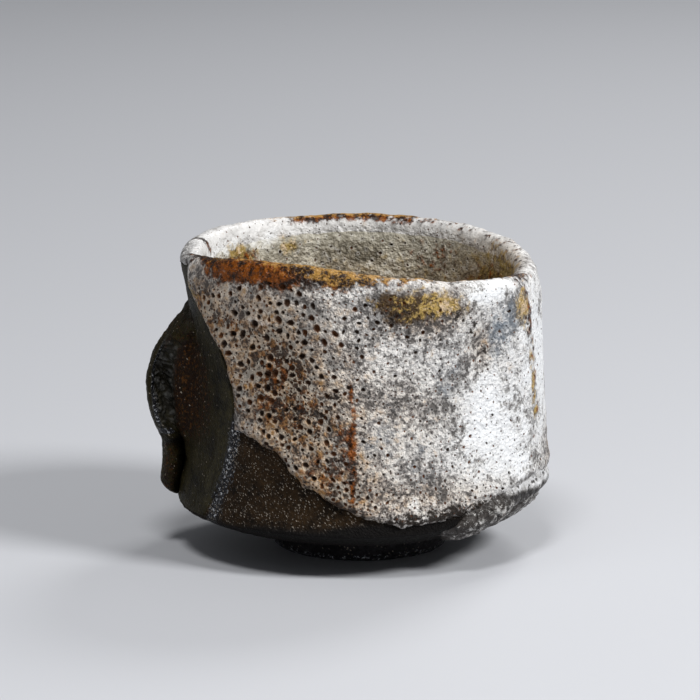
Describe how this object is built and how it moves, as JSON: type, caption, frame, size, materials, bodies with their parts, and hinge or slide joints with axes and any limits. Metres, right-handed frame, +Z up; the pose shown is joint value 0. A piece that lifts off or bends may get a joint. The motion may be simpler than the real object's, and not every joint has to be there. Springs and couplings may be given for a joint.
{
  "type": "sake cup",
  "caption": "Small handmade stoneware sake cup with a faceted wall, a pinched side fold, thick pinholed white glaze and a trimmed foot ring.",
  "frame": {"origin": "centre of the foot ring's resting face, on the table", "axes": "+Z up out of the mouth; -Y towards the front, the picture's side; the pinched fold is at -X"},
  "size_m": [0.0747, 0.0681, 0.0576],
  "materials": {
    "bare_clay": "unglazed dark brown stoneware with fine bright grit",
    "foot_clay": "unglazed near-black stoneware with a worn grey resting edge",
    "white_glaze": "thick satin white feldspar glaze with brown pinholes",
    "lip_glaze": "thin glaze burnt orange brown over the lip",
    "inner_glaze": "satin grey-white glaze with olive stains and pinholes",
    "iron_slip": "thin olive-black iron slip with a dull sheen",
    "fold_clay": "crumpled brown-black clay under thin iron slip",
    "crusted_glaze": "rough grey-white glaze roll crusted with dark grit"
  },
  "bodies": {
    "root": {"clay_body": "bare_clay", "foot_ring": "foot_clay", "outer_glaze": "white_glaze", "lip_glaze": "lip_glaze", "inner_glaze": "inner_glaze", "iron_slip": "iron_slip", "pinched_fold": "fold_clay", "glaze_roll": "crusted_glaze"}
  },
  "joints": []
}
